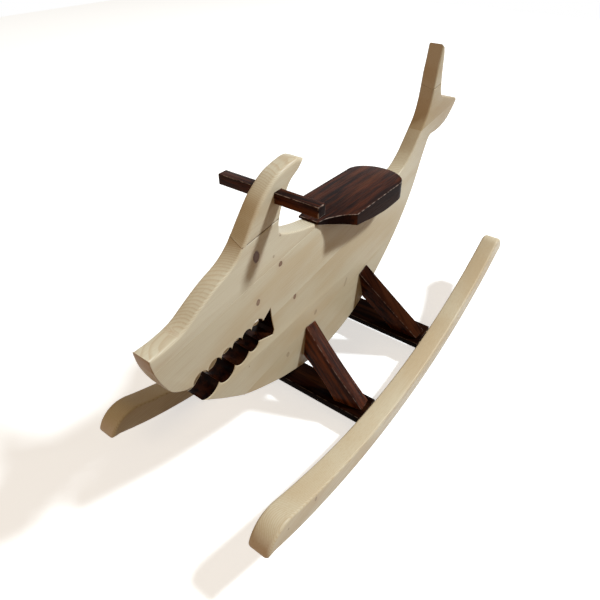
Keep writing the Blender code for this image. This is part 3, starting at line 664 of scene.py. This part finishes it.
# Each knot: its place (y, z), half its length and width, its lean and how strong it is.
KNOTS = [(-0.3346, 0.5312, 0.0090, 0.0128, 0.10, 0.95),
         (-0.2626, 0.4753, 0.0058, 0.0062, -0.5, 0.85),
         (-0.2164, 0.3621, 0.0050, 0.0072, -0.1, 0.80),
         (-0.3369, 0.4231, 0.0056, 0.0072, -0.2, 0.75),
         (-0.2453, 0.2093, 0.0055, 0.0065, 0.0, 0.30),
         (0.000, 0.271, 0.004, 0.014, -0.5, 0.25),
         (-0.0870, 0.2455, 0.0026, 0.0032, -0.4, 0.65),
         (-0.1341, 0.2619, 0.0050, 0.0070, -0.5, 0.35),
         (0.100, 0.360, 0.003, 0.004, 0.0, 0.7),
         (-0.538, 0.484, 0.0022, 0.0022, 0.0, 0.95),
         (0.410, 0.546, 0.0035, 0.0060, -0.5, 0.85),
         (-0.3762, 0.2776, 0.0013, 0.0013, 0.0, 0.6),
         (-0.2607, 0.5434, 0.0030, 0.0030, 0.0, 0.40),
         (-0.2836, 0.5047, 0.0030, 0.0030, 0.0, 0.35)]

# Each board: the glue lines above and below it, where it starts and stops along the shark, the
# tree's pith (x, z), the ring width, its tone, the share of its end-grain colour (painted light
# on the tail's boards), a seed, its knots.
# OVER, UNDER, AHEAD and BEHIND lie past the shark on all sides.
OVER, UNDER, AHEAD, BEHIND = -0.20, 0.60, -0.62, 0.68
first_glue, second_glue, third_glue = GLUE_LINES
# The tail_tip and tail_board tones are the lowest, as painted shade towards the tail.
boards = [("dorsal_fin", OVER, 0.0, AHEAD, 0.0, (-0.010, 0.535), 0.0022, 1.0, 0.2, 1.0, [0, 9]),
          ("tail_tip", OVER, 0.0, 0.30, BEHIND, (-0.01, 0.46), 0.0024, 0.84, 0.9, 2.0, []),
          ("head_board", 0.0, first_glue, AHEAD, 0.10, (0.012, 0.44), 0.0025, 1.0, 1.0, 3.0,
           [0, 1, 9, 12, 13]),
          ("tail_board", 0.0, first_glue, 0.25, BEHIND, (-0.012, 0.46), 0.0026, 0.82, 0.9, 4.0,
           [10]),
          ("upper_jaw_board", first_glue, second_glue, AHEAD, BEHIND, (-0.02, 0.56), 0.0026,
           0.96, 0.6, 5.0, [3, 8, 1]),
          ("lower_jaw_board", second_glue, third_glue, AHEAD, BEHIND, (0.015, 0.22), 0.0027,
           0.93, 0.8, 6.0, [2, 5, 6, 7, 11]),
          ("belly_board", third_glue, UNDER, AHEAD, BEHIND, (0.0, 0.30), 0.0026, 0.89, 0.8, 7.0,
           [4])]

# A darker board is a warmer one: its green and its blue are these powers of its tone. The
# hole in the fin for the grip bar is square: its middle (y, z) and half its side.
WARM_GREEN, WARM_BLUE = 1.3, 2
BAR_AT, BAR_HOLE = np.array([-0.2643, 0.6305]), 0.0118
bar_hole = BAR_AT + BAR_HOLE * np.array([(-1, 1), (1, 1), (1, -1), (-1, -1)])
mouth_stain = stained("mouth_stain", streaks=(60, 60, 60), seed=2.0, light=0.28)
line, rounding, wall, lean = shark_line()
for name, top, bottom, front, back, pith, ring, tone, end_share, seed, own in boards:
    piece = sawn_piece("sawn_" + name,
                       board_line(line, rounding, wall, lean, top, bottom, front, back),
                       BODY_HALF, flank, hole=bar_hole if name == "dorsal_fin" else None,
                       rim=0.0)
    warm = tone, tone ** WARM_GREEN, tone ** WARM_BLUE
    # The tail's boards get painted light on their end grain.
    piece.data.materials.append(spruce(name + "_spruce", pith, ring, warm,
                                       [KNOTS[k] for k in own], seed=seed, end_share=end_share,
                                       end_tint_and_light=PAINTED_END_LIGHT if "tail" in name else THIRSTY_END,
                                       painted_tail_shade=PAINTED_TAIL_SHADE))
    piece.data.materials.append(mouth_stain)
    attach(piece, "root")
    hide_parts(name)


# The grip bar: a square batten through a square hole in the fin, stained dark and varnished,
# its arrises pale where they are rubbed by small hands and where a painted highlight lies,
# darker on the sawn ends, which drank the stain.
BAR_HALF, BAR_REACH = 0.0115, 0.121
CORNER_TURN = 0.3


def eased(corners, radius, steps=4):
    """Corners rounded off by arcs: each starts r tan(turn / 2) before its corner and adds up
    the direction while it swings from one side to the next. Points in the middle of an arc
    get the edge mark, rubbed wear with a painted highlight, where the corner turns by more than
    CORNER_TURN."""
    z = np.array(corners, float) @ (1, 1j)
    before, after = z - np.roll(z, 1), np.roll(z, -1) - z
    before, after = before / abs(before), after / abs(after)
    swing = np.angle(after / before)[:, None]
    s = np.linspace(0, 1, steps + 1)
    way = np.where(swing < 0, -1.0, 1.0)
    start = z[:, None] - before[:, None] * radius * np.tan(abs(swing) / 2)
    arcs = start + before[:, None] * radius * (np.exp(1j * swing * s) - 1) / (1j * way)
    edge_mark = np.where(abs(swing) > CORNER_TURN, np.sin(math.pi * s), 0.0)
    return np.column_stack([arcs.real.ravel(), arcs.imag.ravel()]), edge_mark.ravel()


def batten(name, corners, radius, end_round, half):
    """A straight piece of one section along X, its arrises and ends softened."""
    section, edge_mark = eased(corners, radius)
    rounding = np.full(len(section), end_round)
    whole = np.zeros(len(section), int)
    return sawn_piece(name, lambda t: (section, rounding, whole, edge_mark), half, flank)


bar_section = BAR_AT + BAR_HALF * np.array([(-1, -1), (1, -1), (1, 1), (-1, 1)])
bar = batten("stained_handlebar", bar_section, radius=0.0012, end_round=0.0022, half=BAR_REACH)
bar.data.materials.append(stained("bar_stain", streaks=(9, 150, 150), seed=11.0, light=0.9,
                                  wear_and_sheen=0.95, soaked=0.9))
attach(bar, "root")
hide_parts("handlebar")


# The seat: one plank across the shark's back behind the fin, straight sides, a rounded back
# and a narrow neck that meets the fin, its underside cut to the curve of the back. Stained
# dark, its grain along the shark, the stain pale in places along the upper arris, rubbed
# through and with a painted highlight.
SEAT_FRONT, SEAT_CORNER, SEAT_BACK = -0.101, -0.018, 0.242
SEAT_HALF, SEAT_BACK_DEPTH = 0.0755, 0.059
SEAT_TOP, SEAT_FALL, SEAT_EDGE, JOINT_GAP = 0.5130, 0.020, 0.0015, 0.0003
SEAT_NECK = [(0.026, SEAT_FRONT), (0.031, -0.076), (0.038, -0.062), (0.048, -0.045),
             (0.061, -0.030), (SEAT_HALF, SEAT_CORNER)]


def seat_line():
    """The seat from above, (x, y): the neck a bent lath, the back a half ellipse, and the right
    half mirrored from the left."""
    turn = np.linspace(0, math.pi / 2, 25)
    back = np.column_stack([SEAT_HALF * np.cos(turn),
                            SEAT_BACK - SEAT_BACK_DEPTH * (1 - np.sin(turn))])
    side = np.linspace(SEAT_CORNER, SEAT_BACK - SEAT_BACK_DEPTH, 22)[1:-1]
    side = np.column_stack([np.full(len(side), SEAT_HALF), side])
    half = np.vstack([bent_lath(SEAT_NECK, 8), side, back])
    half[:, 1] += LENGTH_SHIFT
    return np.vstack([half, half[::-1][1:] * (-1, 1)])


def plank_seat(name, bend=5):
    """A ring on the curved underside, then rings up the wall and round the upper arris, whose
    radius is r: r(1 - cos a) in and r(1 - sin a) down. The underside is strips from side to
    side, as it curves only along the shark."""
    plan = seat_line()
    back = bent_lath(BACK)
    table = np.interp(plan[:, 1] - LENGTH_SHIFT, back[:, 0], back[:, 1]) + JOINT_GAP
    rings = [np.column_stack([plan, table])]
    edge_marks = [np.zeros(len(plan))]
    for turn in np.linspace(0, math.pi / 2, bend + 1):
        ring = plane_in(plan, np.full(len(plan), SEAT_EDGE * (1 - math.cos(turn))))
        face = SEAT_TOP - SEAT_FALL * (ring[:, 1] - LENGTH_SHIFT)
        rings.append(np.column_stack([ring, face - SEAT_EDGE * (1 - math.sin(turn))]))
        edge_marks.append(np.full(len(plan), math.sin(2 * turn)))
    count = len(plan)
    top = (len(rings) - 1) * count
    faces = [face for k in range(len(rings) - 1) for face in band(k * count, count)]
    smooth = [True] * len(faces) + [False] + [True] * (count // 2)
    faces.append(list(range(top, top + count)))
    k = np.arange(count // 2)
    faces += [[a, b, d, c] if b != d else [a, b, c] for a, b, c, d in
              zip(k, k + 1, count - 1 - k, count - 2 - k)]
    return finished_mesh(name, np.vstack(rings), faces, [0] * len(faces), smooth,
                         np.concatenate(edge_marks))


seat = plank_seat("stained_seat")
seat.data.materials.append(stained("seat_stain", streaks=(75, 5, 75), seed=3.7, wear_and_sheen=0.9,
                                   soaked=0.9))
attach(seat, "root")
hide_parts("seat")


# The two runners: thick spruce planks sawn to a long curve below and a tighter one above,
# rounded at the nose and the heel, every arris rounded over, clear varnish.
RUNNER_HALF, RUNNER_MIDDLE = 0.025, 0.2178
SOLE_RADIUS, TOP_RADIUS, RUNNER_WAIST = 1.431, 1.264, 0.0495
SOLE_ROUND, REAR_ROUND, HEEL_ROUND = 0.004, 0.006, 0.008
TOP_ROUND, NOSE_ROUND, TOE_ROUND = 0.005, 0.006, 0.011
ROUND_BLEND = 9
PITH_OUT, PITH_ASIDE, PITH_UP = 0.219, -0.09, 0.04
RUNNER_NOSE = [(-0.493, 0.148), (-0.541, 0.139), (-0.561, 0.113)]
RUNNER_HEEL = [(0.577, 0.187), (0.622, 0.186), (0.640, 0.153)]
RUNNER_TOE = [(-0.561, 0.113), (-0.5605, 0.1098), (-0.5575, 0.1078), (-0.550, 0.1066),
              (-0.540, 0.1058)]
RUNNER_REAR = [(0.615, 0.1385), (0.634, 0.1425), (0.639, 0.1455), (0.640, 0.153)]


def runner_line():
    """The runner from its side, (y, z), with the rounding of each edge: the sole is
    R - sqrt(R^2 - y^2), and the upper edge the same for its own radius above the waist, raised
    evenly towards the heel to meet it. Nose and heel are circular arcs, toe and rear bent
    laths, all rounded more, and one rounding runs into the next as a moving mean."""
    y = np.linspace(RUNNER_TOE[-1][0], RUNNER_REAR[0][0], 150)
    sole = np.column_stack([y, SOLE_RADIUS - np.sqrt(SOLE_RADIUS ** 2 - y ** 2)])
    y = np.linspace(RUNNER_HEEL[0][0], RUNNER_NOSE[0][0], 120)
    top = np.column_stack([y, RUNNER_WAIST + TOP_RADIUS - np.sqrt(TOP_RADIUS ** 2 - y ** 2)])
    top[:, 1] += np.linspace(RUNNER_HEEL[0][1] - top[0, 1], 0, len(top))
    runs = [sole, bent_lath(RUNNER_REAR, 4), compass_arc(*RUNNER_HEEL)[::-1], top,
            compass_arc(*RUNNER_NOSE), bent_lath(RUNNER_TOE, 4)]
    radii = SOLE_ROUND, REAR_ROUND, HEEL_ROUND, TOP_ROUND, NOSE_ROUND, TOE_ROUND
    rounding = np.concatenate([np.full(len(run) - 1, r) for run, r in zip(runs, radii)])
    around = np.concatenate([rounding[-ROUND_BLEND:], rounding, rounding[:ROUND_BLEND]])
    even = np.convolve(around, np.full(2 * ROUND_BLEND + 1, 1 / (2 * ROUND_BLEND + 1)), "valid")
    return np.vstack([run[:-1] for run in runs]) + (LENGTH_SHIFT, 0), even


# Two knots at the nose of the left runner, given like the body's.
RUNNER_KNOTS = [(-0.4472, 0.1037, 0.0040, 0.0060, 0.0, 0.40),
                (-0.5361, 0.1249, 0.0022, 0.0022, 0.0, 0.55)]
for side, hand in ((1, "left"), (-1, "right")):
    plan, rounding = runner_line()
    parts = plan, rounding, np.zeros(len(plan), int), np.zeros(len(plan))
    knots = RUNNER_KNOTS if side == 1 else ()
    runner = sawn_piece("sawn_%s_runner" % hand, lambda t: parts, RUNNER_HALF,
                        lambda y, z, across: flank(y, z, side * RUNNER_MIDDLE + across),
                        rim=0.0)
    # Painted light lightens the runners' end grain at the nose and the heel.
    runner.data.materials.append(spruce(hand + "_runner_spruce",
                                        pith=(side * PITH_OUT + PITH_ASIDE, PITH_UP),
                                        spacing=0.0026, tone=(0.95, 0.92, 0.88), knots=knots,
                                        turn=0.0, seed=8.0 + side, wander=0.012,
                                        end_tint_and_light=PAINTED_END_LIGHT))
    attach(runner, "root")
    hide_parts(hand + "_runner")


# The two crossbars: flat battens butted between the runners and held by hidden dowels, and on
# each a pair of braces, thick boards mitred at both ends that stand on the crossbar and lean
# against the body. All are stained dark like the seat.
CROSSBAR_HALF, CROSSBAR_WIDE, CROSSBAR_THICK = 0.1925, 0.075, 0.020
BRACE_THICK, BRACE_TIP, BRACE_EDGE = 0.0375, 0.184, 0.0015


class Station:
    """One crossbar with its braces, in (y, z): the middle of the bar's top and its tilt, the
    foot line of the braces and their lean, how far they run forward per metre inwards, their
    height, the length of the butt against the body, how far their slope is hollowed, how light
    the stain came out on them, how glossy the varnish and how much darker the slope."""

    def __init__(self, centre, tilt, foot, lean, splay, height, butt, sunk, tone, gloss, soaked):
        self.centre, self.foot, self.tone = np.array(centre), np.array(foot), tone
        self.splay, self.height, self.butt = splay, height, butt
        self.sunk, self.gloss, self.soaked = sunk, gloss, soaked
        self.slope = np.array([math.cos(tilt), math.sin(tilt)])
        self.normal = np.array([-math.sin(tilt), math.cos(tilt)])
        self.rise = np.array([-math.sin(lean), math.cos(lean)])
        self.across = np.array([math.cos(lean), math.sin(lean)])

    def bar_corners(self):
        """The bar's section, from the middle of its top."""
        wide = CROSSBAR_WIDE / 2
        return [self.centre + self.slope * a + self.normal * b + (LENGTH_SHIFT, 0)
                for a, b in ((-wide, -CROSSBAR_THICK), (wide, -CROSSBAR_THICK), (wide, 0),
                             (-wide, 0))]

    def foot_corner(self, end, fall, depth):
        """Where an edge that falls outwards, and would end at that x, meets the crossbar."""
        start = self.foot + self.across * depth - self.centre
        level = (JOINT_GAP - start @ self.normal) / (self.rise @ self.normal)
        gain = self.splay * self.normal[0] / (self.rise @ self.normal)
        inwards = (level + gain * (BRACE_TIP - end)) / (fall - gain)
        return np.array([end - inwards, fall * inwards])

    def hollow(self, start, end):
        """A shallow arc between two corners, sunk into the wood."""
        way = (end - start) / np.linalg.norm(end - start)
        middle = (start + end) / 2 + self.sunk * np.array([way[1], -way[0]])
        return compass_arc(start, middle, end, 10)

    def brace_line(self, depth):
        """The brace's outline, (x, height), at a depth across its thickness."""
        inner = BODY_HALF + JOINT_GAP
        fall = self.height / (BRACE_TIP - inner)
        heel = BRACE_TIP - self.butt / fall
        slope = self.hollow(np.array([inner, self.height]),
                            self.foot_corner(BRACE_TIP, fall, depth))
        under = self.hollow(self.foot_corner(heel, fall, depth),
                            np.array([inner, self.height - self.butt]))
        line, edge_mark = eased(np.vstack([slope, under]), BRACE_EDGE)
        size = len(line)
        return line, np.full(size, BRACE_EDGE), np.zeros(size, int), edge_mark

    def placed(self, x, height, depth, side):
        """A brace point in the toy: up its plane from the foot line, and across it."""
        y = self.foot[0] + self.rise[0] * height + self.across[0] * depth
        z = self.foot[1] + self.rise[1] * height + self.across[1] * depth
        y = y - self.splay * (BRACE_TIP - x) + LENGTH_SHIFT
        return np.column_stack([side * x, y, z])


front_station = Station(centre=(-0.118, 0.052), tilt=0.0, foot=(-0.1125, 0.052),
                        lean=math.radians(-6), splay=0.17, height=0.1925, butt=0.087,
                        sunk=0.0035, tone=1.25, gloss=0.04, soaked=0.0)
rear_station = Station(centre=(0.190, 0.067), tilt=math.radians(10), foot=(0.187, 0.068),
                       lean=math.radians(16.5), splay=0.04, height=0.2055, butt=0.100,
                       sunk=0.001, tone=0.8, gloss=0.010, soaked=0.60)
crossbar_stain = stained("crossbar_stain", streaks=(6, 120, 120), seed=5.1, light=0.15,
                         wear_and_sheen=0.25, gloss=0.010)
for name, station in (("front", front_station), ("rear", rear_station)):
    bar = batten("stained_%s_crossbar" % name, station.bar_corners(), radius=0.0015,
                 end_round=0.0008, half=CROSSBAR_HALF)
    bar.data.materials.append(crossbar_stain)
    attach(bar, "root")
    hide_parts(name + "_crossbar")
    for side, hand in ((1, "left"), (-1, "right")):
        brace = sawn_piece("stained_%s_%s_brace" % (name, hand), station.brace_line,
                           BRACE_THICK / 2,
                           lambda x, h, d: station.placed(x, h, d, side))
        pitch = math.atan2(station.height, side * (BODY_HALF - BRACE_TIP))
        brace.data.materials.append(stained("%s_%s_brace_stain" % (name, hand),
                                            streaks=(8, 130, 130), seed=6.0 + side,
                                            light=station.tone, turn=(0, pitch, 0), wear_and_sheen=0.5,
                                            soaked=station.soaked, gloss=station.gloss))
        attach(brace, "root")
        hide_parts("%s_%s_brace" % (name, hand))


# The dowels between the boards, in the braces and in the crossbars' ends, plain turned beech
# glued in, and the zinc-plated screws from the crossbars into the braces. All are sealed
# inside, so nothing of them shows, and the drawn solids serve as they are.
BEECH_PALE, BEECH_BROWN = (0.60, 0.40, 0.23), (0.44, 0.27, 0.14)
ZINC_BRIGHT, ZINC_DULL = (0.62, 0.62, 0.60), (0.48, 0.49, 0.48)
beech = Finish("turned_beech")
beech.give("Roughness", 0.6)
grain = beech.noise(beech.place, (260, 260, 40), detail=3.0)["Fac"]
beech.give("Base Color", beech.mix(grain, BEECH_PALE, BEECH_BROWN))
zinc = Finish("zinc_plate")
zinc.give("Roughness", 0.35)
zinc.give("Metallic", 1.0)
cloud = zinc.noise(zinc.place, (900, 900, 900))["Fac"]
zinc.give("Base Color", zinc.mix(cloud, ZINC_BRIGHT, ZINC_DULL))
for name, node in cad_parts.items():
    if "dowel" in name or "screw" in name:
        node.data.materials.clear()
        node.data.materials.append(beech.material if "dowel" in name else zinc.material)
